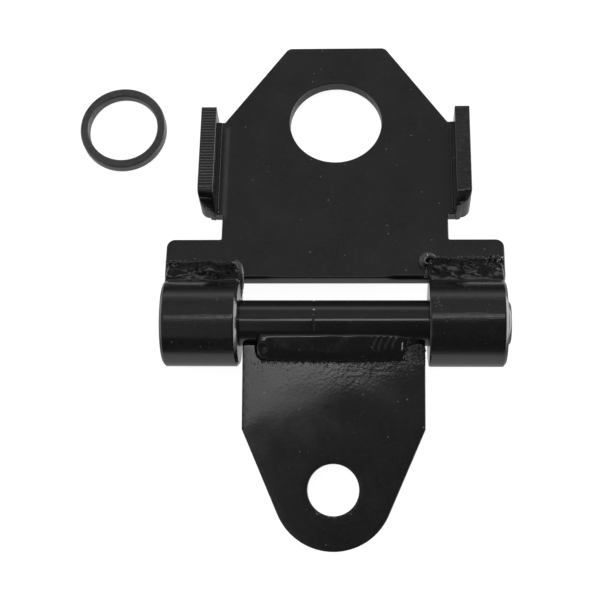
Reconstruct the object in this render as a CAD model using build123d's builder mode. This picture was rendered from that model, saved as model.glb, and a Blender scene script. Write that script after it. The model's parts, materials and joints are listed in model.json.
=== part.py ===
from build123d import *
import math
import os

# Hinged ball-hole bracket with a loose reducer ring.
# Millimetres. +Z up, X along the hinge axis, +Y towards the end with the large hole.
# The bracket lies on a flat surface at Z = 0 on its barrels, the far edge of the hitch
# plate and the tip of the tongue. The ring lies flat beside it.

# ---------------------------------------------------------------- driving dimensions
# hinge
barrel_r = 15.0              # outside radius of the two hinge barrels
rod_r = 15.875 / 2           # 5/8 in rod
bore_r = rod_r + 0.0625      # running clearance in the barrels
barrel_in = 32.45            # inner end of a barrel, from the centre
barrel_out = 58.65           # outer end of a barrel, from the centre
barrel_chamfer = 1.0
rod_left = -58.30            # left end of the rod, just inside the barrel's end
rod_right = 60.30            # right end of the rod, standing proud
rod_chamfer = 1.0

# hitch plate, distances from the hinge axis along the plate
plate_t = 4.76               # 3/16 in plate
plate_low = 15.90            # lower edge
wing_top = 31.05             # upper edge of the wings
wing_half = 59.25            # half width over the wings
wing_r = 3.0
neck_half = 40.0             # half width between wings and tab seats
seat_low = 41.0              # lower end of the tab seats
seat_half = 42.65            # half width at the tab seats
seat_top = 78.9              # upper end of the tab seats
shoulder_half = 40.6         # half width where the slanted sides start
plate_top = 110.9            # far edge
top_half = 18.0              # half width of the far edge
top_r = 1.2
ball_r = 33.3 / 2            # 1-5/16 in hole for a 1-1/4 in ball shank
ball_s = 78.8                # its centre

# side tabs
tab_t = 5.5
tab_low = 40.8
tab_top = 79.15
tab_h = 13.0                 # height of the tabs' front edge over the plate's middle plane
tab_r = 8.0                  # rounded lower front corner
tab_side_r = 3.6             # rounded lower outer corner

# tongue plate, distances from the hinge axis along the tongue
tongue_t = 4.76
tongue_half = 31.25
tongue_start = rod_r + 0.1
tongue_knee = 36.6           # where the sides start to taper
tongue_s = 57.0              # centre of the hole and of the round end
tongue_tip_r = 20.6
tongue_hole_r = 17.5 / 2     # 11/16 in hole for a 5/8 in bolt

# reducer ring
ring_or = 31.8 / 2           # fits the 33.3 mm hole
ring_ir = 25.5 / 2           # slips on a 1 in shank
ring_h = 4.5
ring_chamfer = 0.5
ring_dx = -79.0              # place of the ring from the hinge centre
ring_dy = 78.6

# weld beads
wing_weld_leg = 22.1         # toe of the front bead on the plate, from the hinge axis
wing_weld_back = 20.6        # toe of the back bead
tongue_weld_toe = 13.7       # toe of the front bead on the tongue
tongue_weld_toe_back = 12.6

# ---------------------------------------------------------------- resting angles
half_t = plate_t / 2
plate_angle = math.degrees(
    math.asin(barrel_r / math.hypot(plate_top, half_t)) - math.atan2(half_t, plate_top)
)
tongue_reach = tongue_s + tongue_tip_r
half_tt = tongue_t / 2
tongue_angle = math.degrees(
    math.asin(barrel_r / math.hypot(tongue_reach, half_tt)) - math.atan2(half_tt, tongue_reach)
)
sp, cp = math.sin(math.radians(plate_angle)), math.cos(math.radians(plate_angle))
st, ct = math.sin(math.radians(tongue_angle)), math.cos(math.radians(tongue_angle))

# centre of the hinge, placed so that the origin is at the middle of the footprint
x_min, x_max = ring_dx - ring_or, rod_right
y_min = -(tongue_reach * ct + half_tt * st)
y_max = plate_top * cp + half_t * sp
hx = -(x_min + x_max) / 2
hy = -(y_min + y_max) / 2
hz = barrel_r

hinge = Vector(hx, hy, hz)
# local x across, local y from the hinge to the far edge, local z out of the front face
plate_plane = Plane(origin=hinge, x_dir=(1, 0, 0), z_dir=(0, sp, cp))
# local x across, local -y from the hinge to the tongue's tip, local z out of the top face
tongue_plane = Plane(origin=hinge, x_dir=(1, 0, 0), z_dir=(0, -st, ct))


def across(base, x):
    """Plane square to the hinge axis at x: local x is the base's y, local y is its z."""
    o = base.from_local_coords((x, 0, 0))
    return Plane(origin=o, x_dir=base.y_dir, z_dir=(1, 0, 0))


# the plane square to the hinge axis with world directions, for barrels, rod and bores
axis_plane = Plane(origin=hinge, x_dir=(0, 1, 0), z_dir=(1, 0, 0))

# ---------------------------------------------------------------- hitch plate
with BuildPart() as hitch_plate:
    with BuildSketch(plate_plane.offset(-half_t)) as outline:
        with BuildLine():
            Polyline(
                (-wing_half, plate_low), (wing_half, plate_low), (wing_half, wing_top),
                (neck_half, wing_top), (neck_half, seat_low), (seat_half, seat_low),
                (seat_half, seat_top), (shoulder_half, seat_top), (top_half, plate_top),
                (-top_half, plate_top), (-shoulder_half, seat_top), (-seat_half, seat_top),
                (-seat_half, seat_low), (-neck_half, seat_low), (-neck_half, wing_top),
                (-wing_half, wing_top), close=True,
            )
        make_face()
        with Locations((0, ball_s)):
            Circle(ball_r, mode=Mode.SUBTRACT)
    extrude(amount=plate_t)
    upright = hitch_plate.edges().filter_by(lambda e: abs(e.length - plate_t) < 1e-4)

    def near(edge, x, y):
        c = plate_plane.to_local_coords(edge.center())
        return abs(abs(c.X) - x) < 0.01 and abs(c.Y - y) < 0.01

    fillet([e for e in upright if near(e, wing_half, wing_top)], wing_r)
    upright = hitch_plate.edges().filter_by(lambda e: abs(e.length - plate_t) < 1e-4)
    fillet([e for e in upright if near(e, top_half, plate_top)], top_r)
    upright = hitch_plate.edges().filter_by(lambda e: abs(e.length - plate_t) < 1e-4)
    fillet([e for e in upright if near(e, neck_half, wing_top)], 0.5)
hitch_plate.part.label = "hitch_plate"


# ---------------------------------------------------------------- side tabs
def make_tab(side):
    inner = side * seat_half
    with BuildPart() as tab:
        with BuildSketch(across(plate_plane, inner)):
            with BuildLine():
                Polyline(
                    (tab_low, -half_t), (tab_top, -half_t), (tab_top, tab_h),
                    (tab_low + tab_r, tab_h),
                )
                RadiusArc((tab_low + tab_r, tab_h), (tab_low, tab_h - tab_r), -tab_r)
                Line((tab_low, tab_h - tab_r), (tab_low, -half_t))
            make_face()
        extrude(amount=side * tab_t)
        outer_low = [
            e for e in tab.edges()
            if abs(plate_plane.to_local_coords(e.center()).Y - tab_low) < 0.01
            and abs(plate_plane.to_local_coords(e.center()).X - side * (seat_half + tab_t)) < 0.01
        ]
        fillet(outer_low, tab_side_r)
    return tab


left_tab = make_tab(-1)
left_tab.part.label = "left_tab"
right_tab = make_tab(1)
right_tab.part.label = "right_tab"


# ---------------------------------------------------------------- hinge barrels
def make_barrel(side):
    start = barrel_in if side > 0 else -barrel_out
    with BuildPart() as barrel:
        with BuildSketch(axis_plane.offset(start)):
            Circle(barrel_r)
            Circle(bore_r, mode=Mode.SUBTRACT)
        extrude(amount=barrel_out - barrel_in)
        rims = barrel.edges().filter_by(GeomType.CIRCLE).filter_by(
            lambda e: abs(e.radius - barrel_r) < 1e-3
        )
        chamfer(rims, barrel_chamfer)
        mouths = barrel.edges().filter_by(GeomType.CIRCLE).filter_by(
            lambda e: abs(e.radius - bore_r) < 1e-3
        )
        chamfer(mouths, 0.5)
    return barrel


left_barrel = make_barrel(-1)
left_barrel.part.label = "left_barrel"
right_barrel = make_barrel(1)
right_barrel.part.label = "right_barrel"

# ---------------------------------------------------------------- hinge rod
with BuildPart() as hinge_rod:
    with BuildSketch(axis_plane.offset(rod_left)):
        Circle(rod_r)
    extrude(amount=rod_right - rod_left)
    chamfer(hinge_rod.edges().filter_by(GeomType.CIRCLE), rod_chamfer)
hinge_rod.part.label = "hinge_rod"

# ---------------------------------------------------------------- tongue plate
# tangent point of the tapered side on the round end
knee = (tongue_half, -tongue_knee)
reach = math.hypot(tongue_half, tongue_s - tongue_knee)
turn = math.atan2(tongue_half, tongue_s - tongue_knee) - math.asin(tongue_tip_r / reach)
tangent = (tongue_tip_r * math.cos(turn), -tongue_s - tongue_tip_r * math.sin(turn))
with BuildPart() as tongue_plate:
    with BuildSketch(tongue_plane.offset(-half_tt)):
        with BuildLine():
            Polyline(
                (-tangent[0], tangent[1]), (-knee[0], knee[1]), (-tongue_half, -tongue_start),
                (tongue_half, -tongue_start), knee, tangent,
            )
            ThreePointArc(tangent, (0, -tongue_reach), (-tangent[0], tangent[1]))
        make_face()
        with Locations((0, -tongue_s)):
            Circle(tongue_hole_r, mode=Mode.SUBTRACT)
    extrude(amount=tongue_t)
tongue_plate.part.label = "tongue_plate"

# ---------------------------------------------------------------- reducer ring
with BuildPart() as reducer_ring:
    with BuildSketch(Plane.XY.move(Location((hx + ring_dx, hy + ring_dy, 0)))):
        Circle(ring_or)
        Circle(ring_ir, mode=Mode.SUBTRACT)
    extrude(amount=ring_h)
    chamfer(reducer_ring.edges().filter_by(GeomType.CIRCLE), ring_chamfer)
reducer_ring.part.label = "reducer_ring"


# ---------------------------------------------------------------- weld beads
def wing_weld(side, toe, top, start, end, back=False):
    """Fillet bead between a wing's face and a barrel, with its root in the joint's gap.
    toe is its reach on the plate, top the angle of its toe on the barrel, in degrees."""
    f = -1 if back else 1
    a = math.radians(top)
    upper = (barrel_r * math.cos(a), f * barrel_r * math.sin(a))
    bulge = ((toe + upper[0]) / 2 + 1.35, f * ((half_t + abs(upper[1])) / 2 + 1.35))
    with BuildPart() as bead:
        with BuildSketch(across(plate_plane, min(side * start, side * end))):
            with BuildLine():
                Polyline(
                    upper, (barrel_r - 3, 0), (plate_low, 0), (plate_low, f * half_t),
                    (toe, f * half_t),
                )
                ThreePointArc((toe, f * half_t), bulge, upper)
            make_face()
        extrude(amount=end - start)
        with BuildSketch(axis_plane.offset(min(side * start, side * end) - 1)):
            Circle(barrel_r)
        extrude(amount=end - start + 2, mode=Mode.SUBTRACT)
    return bead


left_barrel_weld_front = wing_weld(-1, wing_weld_leg, 34, barrel_in + 0.2, 57.4)
left_barrel_weld_front.part.label = "left_barrel_weld_front"
right_barrel_weld_front = wing_weld(1, wing_weld_leg, 34, barrel_in + 0.2, 57.4)
right_barrel_weld_front.part.label = "right_barrel_weld_front"
left_barrel_weld_back = wing_weld(-1, wing_weld_back, 30, barrel_in + 1.5, 56.5, back=True)
left_barrel_weld_back.part.label = "left_barrel_weld_back"
right_barrel_weld_back = wing_weld(1, wing_weld_back, 30, barrel_in + 1.5, 56.5, back=True)
right_barrel_weld_back.part.label = "right_barrel_weld_back"


def tongue_weld(toe, top, x0, x1, back=False):
    """Bead between the rod and a face of the tongue."""
    f = -1 if back else 1
    a = math.radians(top)
    upper = (-rod_r * math.cos(a), f * rod_r * math.sin(a))
    bulge = ((-toe + upper[0]) / 2 - 0.9, f * ((half_tt + abs(upper[1])) / 2 + 1.15))
    with BuildPart() as bead:
        with BuildSketch(across(tongue_plane, x0)):
            with BuildLine():
                Polyline(
                    upper, (-rod_r + 3, f * 0.4), (-tongue_start, f * 0.4),
                    (-tongue_start, f * half_tt), (-toe, f * half_tt),
                )
                ThreePointArc((-toe, f * half_tt), bulge, upper)
            make_face()
        extrude(amount=x1 - x0)
        with BuildSketch(axis_plane.offset(x0 - 1)):
            Circle(rod_r)
        extrude(amount=x1 - x0 + 2, mode=Mode.SUBTRACT)
    return bead


tongue_weld_front = tongue_weld(tongue_weld_toe, 55, -27.2, 29.6)
tongue_weld_front.part.label = "tongue_weld_front"
tongue_weld_back = tongue_weld(tongue_weld_toe_back, 48, -26.0, 26.0, back=True)
tongue_weld_back.part.label = "tongue_weld_back"


def tab_weld_front(side):
    """Thin bead in the inside corner of the plate's front face and a tab."""
    inner = side * seat_half
    o = plate_plane.from_local_coords((0, tab_low + 0.4, 0))
    section = Plane(origin=o, x_dir=(1, 0, 0), z_dir=plate_plane.y_dir)
    # local x is across, local y points to the back, so the front face is at -half_t
    with BuildPart() as bead:
        with BuildSketch(section):
            with BuildLine():
                Polyline(
                    (inner - side * 0.95, -half_t), (inner, -half_t), (inner, -half_t - 0.85),
                )
                ThreePointArc(
                    (inner, -half_t - 0.85),
                    (inner - side * 0.42, -half_t - 0.38),
                    (inner - side * 0.95, -half_t),
                )
            make_face()
        extrude(amount=seat_top - tab_low - 0.6)
    return bead


def tab_weld_back(side):
    """Low bead over the joint of plate and tab on the underside."""
    inner = side * seat_half
    o = plate_plane.from_local_coords((0, tab_low + 2.0, 0))
    section = Plane(origin=o, x_dir=(1, 0, 0), z_dir=plate_plane.y_dir)
    with BuildPart() as bead:
        with BuildSketch(section):
            with BuildLine():
                Line((inner - 2.3, half_t), (inner + 2.3, half_t))
                ThreePointArc((inner + 2.3, half_t), (inner, half_t + 1.1), (inner - 2.3, half_t))
            make_face()
        extrude(amount=seat_top - tab_low - 4.0)
    return bead


left_tab_weld_front = tab_weld_front(-1)
left_tab_weld_front.part.label = "left_tab_weld_front"
right_tab_weld_front = tab_weld_front(1)
right_tab_weld_front.part.label = "right_tab_weld_front"
left_tab_weld_back = tab_weld_back(-1)
left_tab_weld_back.part.label = "left_tab_weld_back"
right_tab_weld_back = tab_weld_back(1)
right_tab_weld_back.part.label = "right_tab_weld_back"

# ---------------------------------------------------------------- write the nodes
os.makedirs("parts", exist_ok=True)
export_step(hitch_plate.part, "parts/hitch_plate.step")
export_step(left_tab.part, "parts/left_tab.step")
export_step(right_tab.part, "parts/right_tab.step")
export_step(left_barrel.part, "parts/left_barrel.step")
export_step(right_barrel.part, "parts/right_barrel.step")
export_step(hinge_rod.part, "parts/hinge_rod.step")
export_step(tongue_plate.part, "parts/tongue_plate.step")
export_step(reducer_ring.part, "parts/reducer_ring.step")
export_step(left_barrel_weld_front.part, "parts/left_barrel_weld_front.step")
export_step(right_barrel_weld_front.part, "parts/right_barrel_weld_front.step")
export_step(left_barrel_weld_back.part, "parts/left_barrel_weld_back.step")
export_step(right_barrel_weld_back.part, "parts/right_barrel_weld_back.step")
export_step(tongue_weld_front.part, "parts/tongue_weld_front.step")
export_step(tongue_weld_back.part, "parts/tongue_weld_back.step")
export_step(left_tab_weld_front.part, "parts/left_tab_weld_front.step")
export_step(right_tab_weld_front.part, "parts/right_tab_weld_front.step")
export_step(left_tab_weld_back.part, "parts/left_tab_weld_back.step")
export_step(right_tab_weld_back.part, "parts/right_tab_weld_back.step")

print("hinge centre", round(hx, 4), round(hy, 4), round(hz, 4))
print("plate angle", round(plate_angle, 4), "tongue angle", round(tongue_angle, 4))
for name, at, plane in (
    ("ball hole", (0, ball_s, 0), plate_plane),
    ("plate front face", (0, 50, half_t), plate_plane),
    ("plate back face", (0, 50, -half_t), plate_plane),
    ("tongue hole", (0, -tongue_s, 0), tongue_plane),
    ("tongue front face", (0, -30, half_tt), tongue_plane),
):
    p = plane.from_local_coords(at)
    print(name, [round(v, 4) for v in (p.X, p.Y, p.Z)], [round(v, 6) for v in plane.z_dir])
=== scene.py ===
import json
import math
import random

import bpy
import numpy as np
from mathutils import Matrix, Vector, noise
from mathutils.geometry import delaunay_2d_cdt


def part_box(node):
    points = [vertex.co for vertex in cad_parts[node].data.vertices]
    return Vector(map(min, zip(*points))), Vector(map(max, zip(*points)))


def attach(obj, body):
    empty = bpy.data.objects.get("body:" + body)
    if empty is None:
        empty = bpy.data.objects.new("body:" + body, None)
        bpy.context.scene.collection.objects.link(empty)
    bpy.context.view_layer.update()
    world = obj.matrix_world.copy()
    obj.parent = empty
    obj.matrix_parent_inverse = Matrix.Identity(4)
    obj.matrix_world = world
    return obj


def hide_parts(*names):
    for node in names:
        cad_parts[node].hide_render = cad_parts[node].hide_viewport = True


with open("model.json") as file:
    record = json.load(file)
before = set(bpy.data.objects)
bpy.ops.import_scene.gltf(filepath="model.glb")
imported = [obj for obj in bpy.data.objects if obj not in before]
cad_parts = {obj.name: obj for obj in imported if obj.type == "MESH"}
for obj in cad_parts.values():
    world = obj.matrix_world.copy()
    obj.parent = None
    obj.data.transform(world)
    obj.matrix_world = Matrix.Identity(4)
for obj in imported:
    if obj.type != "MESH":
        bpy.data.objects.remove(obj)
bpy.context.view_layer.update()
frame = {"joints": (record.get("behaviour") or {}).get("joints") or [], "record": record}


# ---------------------------------------------------------------- frames, in millimetres
mounts = {m["name"]: m for m in frame["record"]["mounts"]}
joints = {j["name"]: j for j in frame["joints"]}
H = np.array(joints["tongue_hinge"]["pos_m"]) * 1000.0
NP = np.array(mounts["ball_hole"]["axis"], float)
UP = np.array([0.0, NP[2], -NP[1]])
NT = np.array(mounts["tongue_hole"]["axis"], float)
UT = np.array([0.0, -NT[2], NT[1]])
X = np.array([1.0, 0.0, 0.0])


def on_plate(x, s, h):
    return H + X * x + UP * s + NP * h


def on_tongue(x, s, h):
    return H + X * x + UT * s + NT * h


def on_hinge(x, y, z):
    return H + np.array([x, y, z])


PLATE_T = 4.76
HALF = PLATE_T / 2
BARREL_R = 15.0
ROD_R = 15.875 / 2
BORE_R = ROD_R + 0.0625
BARREL_IN, BARREL_OUT = 32.45, 58.65
SEAT = 42.65
TAB_T = 5.5
TAB_LOW, TAB_TOP, TAB_H, TAB_R = 40.8, 79.15, 13.0, 8.0
BALL_S, BALL_R = 78.8, 16.65
TONGUE_S, TONGUE_HOLE_R, TIP_R, TONGUE_HALF, KNEE = 57.0, 8.75, 20.6, 31.25, 36.6
RING_OR, RING_IR, RING_H = 15.9, 12.75, 4.5
rlo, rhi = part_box("reducer_ring")
RING_C = np.array([(rlo[0] + rhi[0]) * 500.0, (rlo[1] + rhi[1]) * 500.0, rlo[2] * 1000.0])


def n3(x, y=0.0, z=0.0):
    return noise.noise(Vector((float(x), float(y), float(z))))


def smooth(t):
    t = min(max(t, 0.0), 1.0)
    return t * t * (3 - 2 * t)


# ---------------------------------------------------------------- mesh helpers
def new_object(name, verts, faces, to_world=None):
    if to_world is not None:
        verts = [to_world(*v) for v in verts]
    me = bpy.data.meshes.new(name)
    me.from_pydata([tuple(float(c) * 0.001 for c in v) for v in verts], [], faces)
    me.validate()
    me.update()
    ob = bpy.data.objects.new(name, me)
    bpy.context.scene.collection.objects.link(ob)
    import bmesh
    bm = bmesh.new()
    bm.from_mesh(me)
    bmesh.ops.recalc_face_normals(bm, faces=bm.faces)
    bm.to_mesh(me)
    bm.free()
    me.polygons.foreach_set("use_smooth", [True] * len(me.polygons))
    return ob


def weighted(ob):
    m = ob.modifiers.new("normals", "WEIGHTED_NORMAL")
    m.mode = "FACE_AREA"
    m.weight = 80
    m.keep_sharp = True
    return ob


def rounded_outline(corners, step=1.2):
    """corners: list of (x, y, radius). Straight runs at about step, corners as fine arcs."""
    n = len(corners)
    pts = []
    ends = []
    for i in range(n):
        p = np.array(corners[i][:2], float)
        a = np.array(corners[i - 1][:2], float) - p
        b = np.array(corners[(i + 1) % n][:2], float) - p
        r = corners[i][2]
        la, lb = np.linalg.norm(a), np.linalg.norm(b)
        a, b = a / la, b / lb
        ang = math.acos(max(-1, min(1, float(a @ b))))
        if r <= 0:
            ends.append(([p], p, p))
            continue
        d = r / math.tan(ang / 2)
        c = p + (a + b) / np.linalg.norm(a + b) * (r / math.sin(ang / 2))
        s, e = p + a * d, p + b * d
        a0 = math.atan2(*(s - c)[::-1])
        a1 = math.atan2(*(e - c)[::-1])
        da = (a1 - a0 + math.pi) % (2 * math.pi) - math.pi
        k = max(4, int(abs(da) / math.radians(9)) + 1)
        arc = [c + r * np.array([math.cos(a0 + da * t / k), math.sin(a0 + da * t / k)]) for t in range(k + 1)]
        ends.append((arc, s, e))
    for i in range(n):
        arc, s, e = ends[i]
        nxt = ends[(i + 1) % n][1]
        pts += list(arc)
        gap = nxt - e
        length = np.linalg.norm(gap)
        k = max(1, int(round(length / step)))
        pts += [e + gap * t / k for t in range(1, k)]
    return pts


def circle_outline(cx, cy, r, n):
    return [np.array([cx + r * math.cos(2 * math.pi * i / n), cy + r * math.sin(2 * math.pi * i / n)]) for i in range(n)]


def inside(poly, q):
    x, y = q
    hit = False
    j = len(poly) - 1
    for i in range(len(poly)):
        xi, yi = poly[i][0], poly[i][1]
        xj, yj = poly[j][0], poly[j][1]
        if (yi > y) != (yj > y) and x < (xj - xi) * (y - yi) / (yj - yi) + xi:
            hit = not hit
        j = i
    return hit


def signed_area(p):
    return 0.5 * sum(p[i - 1][0] * p[i][1] - p[i][0] * p[i - 1][1] for i in range(len(p)))


def slab(name, outer, holes, z0, z1, edge, to_world, wall=None, face=None, wall_rows=3, grid=3.0, move=None, arris=3, hole_edge=1.0):
    """A flat plate between z0 and z1 with rounded arrises.
    wall(x, y, z, run, loop) gives an outward shift of a side wall, face(x, y, side) a lift of a face."""
    loops = []
    for k, pts in enumerate([outer] + holes):
        pts = [np.array(p, float) for p in pts]
        want = 1 if k == 0 else -1
        if signed_area(pts) * want < 0:
            pts = pts[::-1]
        n = len(pts)
        normals = []
        runs = [0.0]
        for i in range(n):
            a = pts[i] - pts[i - 1]
            b = pts[(i + 1) % n] - pts[i]
            a, b = a / np.linalg.norm(a), b / np.linalg.norm(b)
            na, nb = np.array([a[1], -a[0]]), np.array([b[1], -b[0]])
            m = na + nb
            m = m / max(np.linalg.norm(m), 1e-9)
            normals.append(m / max(float(m @ na), 0.5))
            runs.append(runs[-1] + float(np.linalg.norm(pts[(i + 1) % n] - pts[i])))
        loops.append((pts, normals, runs))
    prof = []
    for k in range(arris + 1):
        a = k / arris * math.pi / 2
        prof.append((edge * (1 - math.sin(a)), z0 + edge * (1 - math.cos(a)), 0.0 if k == 0 else 0.5 * k / arris))
    for k in range(1, wall_rows):
        prof.append((0.0, z0 + edge + (z1 - z0 - 2 * edge) * k / wall_rows, 1.0))
    for k in range(arris + 1):
        a = k / arris * math.pi / 2
        prof.append((edge * (1 - math.cos(a)), z1 - edge * (1 - math.sin(a)), 0.0 if k == arris else 0.5 * (1 - k / arris)))
    verts, faces = [], []
    rims = []
    for li, (pts, normals, runs) in enumerate(loops):
        n = len(pts)
        base = len(verts)
        for (d, z, w) in prof:
            for i in range(n):
                shift = -d * (1.0 if li == 0 else hole_edge)
                if wall is not None and w > 0:
                    shift += w * wall(pts[i][0], pts[i][1], z, runs[i], li)
                p = pts[i] + normals[i] * shift
                verts.append([p[0], p[1], z])
        rows = len(prof)
        for r in range(rows - 1):
            for i in range(n):
                j = (i + 1) % n
                faces.append([base + r * n + i, base + r * n + j, base + (r + 1) * n + j, base + (r + 1) * n + i])
        rims.append(([base + i for i in range(n)], [base + (rows - 1) * n + i for i in range(n)]))
    for top in (0, 1):
        ids, coords, edges = [], [], []
        polys = []
        for rim in rims:
            ring = rim[top]
            s = len(coords)
            polys.append([verts[v][:2] for v in ring])
            for v in ring:
                ids.append(v)
                coords.append(Vector(verts[v][:2]))
            m = len(ring)
            edges += [(s + i, s + (i + 1) % m) for i in range(m)]
        lo = np.min(np.array(polys[0]), axis=0)
        hi = np.max(np.array(polys[0]), axis=0)
        rng = random.Random(7 + top)
        y = lo[1] + grid * 0.5
        row = 0
        while y < hi[1]:
            x = lo[0] + grid * (0.5 if row % 2 else 0.15)
            while x < hi[0]:
                q = (x + rng.uniform(-0.12, 0.12) * grid, y + rng.uniform(-0.12, 0.12) * grid)
                if inside(polys[0], q) and not any(inside(p, q) for p in polys[1:]):
                    near = min(min((q[0] - c[0]) ** 2 + (q[1] - c[1]) ** 2 for c in p) for p in polys)
                    if near > (0.35 * grid) ** 2:
                        z = z1 if top else z0
                        lift = face(q[0], q[1], top) if face is not None else 0.0
                        ids.append(len(verts))
                        verts.append([q[0], q[1], z + (lift if top else -lift)])
                        coords.append(Vector(q))
                x += grid
            y += grid * 0.87
            row += 1
        out = delaunay_2d_cdt(coords, edges, [], 0, 1e-6)
        new_co, tris, origin = out[0], out[2], out[3]
        back = [o[0] if o else -1 for o in origin]
        for tri in tris:
            if any(back[v] < 0 for v in tri):
                continue
            c = sum((Vector(new_co[v]) for v in tri), Vector((0, 0))) / len(tri)
            if inside(polys[0], c) and not any(inside(p, c) for p in polys[1:]):
                faces.append([ids[back[v]] for v in tri])
    if move is not None:
        verts = [list(move(*v)) for v in verts]
    ob = new_object(name, verts, faces, to_world)
    return weighted(ob)


def lathe(name, profile, n, to_world, wobble=None, closed=True):
    """Turned about the local x axis: profile is a closed list of (x, r)."""
    verts, faces = [], []
    m = len(profile)
    for k in range(n):
        a = 2 * math.pi * k / n
        for (x, r) in profile:
            rr = r + (wobble(x, a, r) if wobble is not None else 0.0)
            verts.append([x, rr * math.cos(a), rr * math.sin(a)])
    for k in range(n):
        for i in range(m):
            j = (i + 1) % m
            if not closed and j == 0:
                continue
            k2 = (k + 1) % n
            faces.append([k * m + i, k * m + j, k2 * m + j, k2 * m + i])
    if not closed:
        for end in (0, m - 1):
            faces.append([k * m + end for k in range(n)])
    return weighted(new_object(name, verts, faces, to_world))


def arc_pts(cx, cy, r, a0, a1, k):
    return [(cx + r * math.cos(math.radians(a0 + (a1 - a0) * i / k)), cy + r * math.sin(math.radians(a0 + (a1 - a0) * i / k))) for i in range(k + 1)]


def loft(name, loops, to_world):
    verts, faces = [], []
    m = len(loops[0])
    for loop in loops:
        verts += [list(p) for p in loop]
    for k in range(len(loops) - 1):
        for i in range(m):
            j = (i + 1) % m
            faces.append([k * m + i, k * m + j, (k + 1) * m + j, (k + 1) * m + i])
    for k, loop in ((0, loops[0]), (len(loops) - 1, loops[-1])):
        c = np.mean(np.array(loop), axis=0)
        verts.append(list(c))
        ci = len(verts) - 1
        for i in range(m):
            faces.append([ci, k * m + i, k * m + (i + 1) % m])
    return new_object(name, verts, faces, to_world)


def interp(keys, x):
    """Smooth run through (x, value) keys."""
    if x <= keys[0][0]:
        return keys[0][1]
    for (x0, v0), (x1, v1) in zip(keys, keys[1:]):
        if x <= x1:
            return v0 + (v1 - v0) * smooth((x - x0) / (x1 - x0))
    return keys[-1][1]


# ---------------------------------------------------------------- materials
def tree(name):
    m = bpy.data.materials.new(name)
    m.use_nodes = True
    nt = m.node_tree
    bsdf = nt.nodes["Principled BSDF"]
    return m, nt, bsdf


def node(nt, kind, **values):
    nd = nt.nodes.new(kind)
    for k, v in values.items():
        if k in nd.inputs:
            nd.inputs[k].default_value = v
        else:
            setattr(nd, k, v)
    return nd


def ramp(nt, src, stops):
    r = nt.nodes.new("ShaderNodeValToRGB")
    while len(r.color_ramp.elements) < len(stops):
        r.color_ramp.elements.new(0.5)
    for e, (p, c) in zip(r.color_ramp.elements, stops):
        e.position = p
        e.color = (c, c, c, 1) if isinstance(c, float) else (*c, 1)
    nt.links.new(src, r.inputs[0])
    return r.outputs[0]


def mixc(nt, fac, a, b):
    mx = nt.nodes.new("ShaderNodeMix")
    mx.data_type = "RGBA"
    for sock, val in ((mx.inputs[0], fac), (mx.inputs[6], a), (mx.inputs[7], b)):
        if isinstance(val, bpy.types.NodeSocket):
            nt.links.new(val, sock)
        elif isinstance(val, float):
            sock.default_value = val
        else:
            sock.default_value = (*val, 1)
    return mx.outputs[2]


def math_node(nt, op, a, b=None):
    nd = nt.nodes.new("ShaderNodeMath")
    nd.operation = op
    for i, val in enumerate((a, b)):
        if val is None:
            continue
        if isinstance(val, bpy.types.NodeSocket):
            nt.links.new(val, nd.inputs[i])
        else:
            nd.inputs[i].default_value = val
    return nd.outputs[0]


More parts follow.
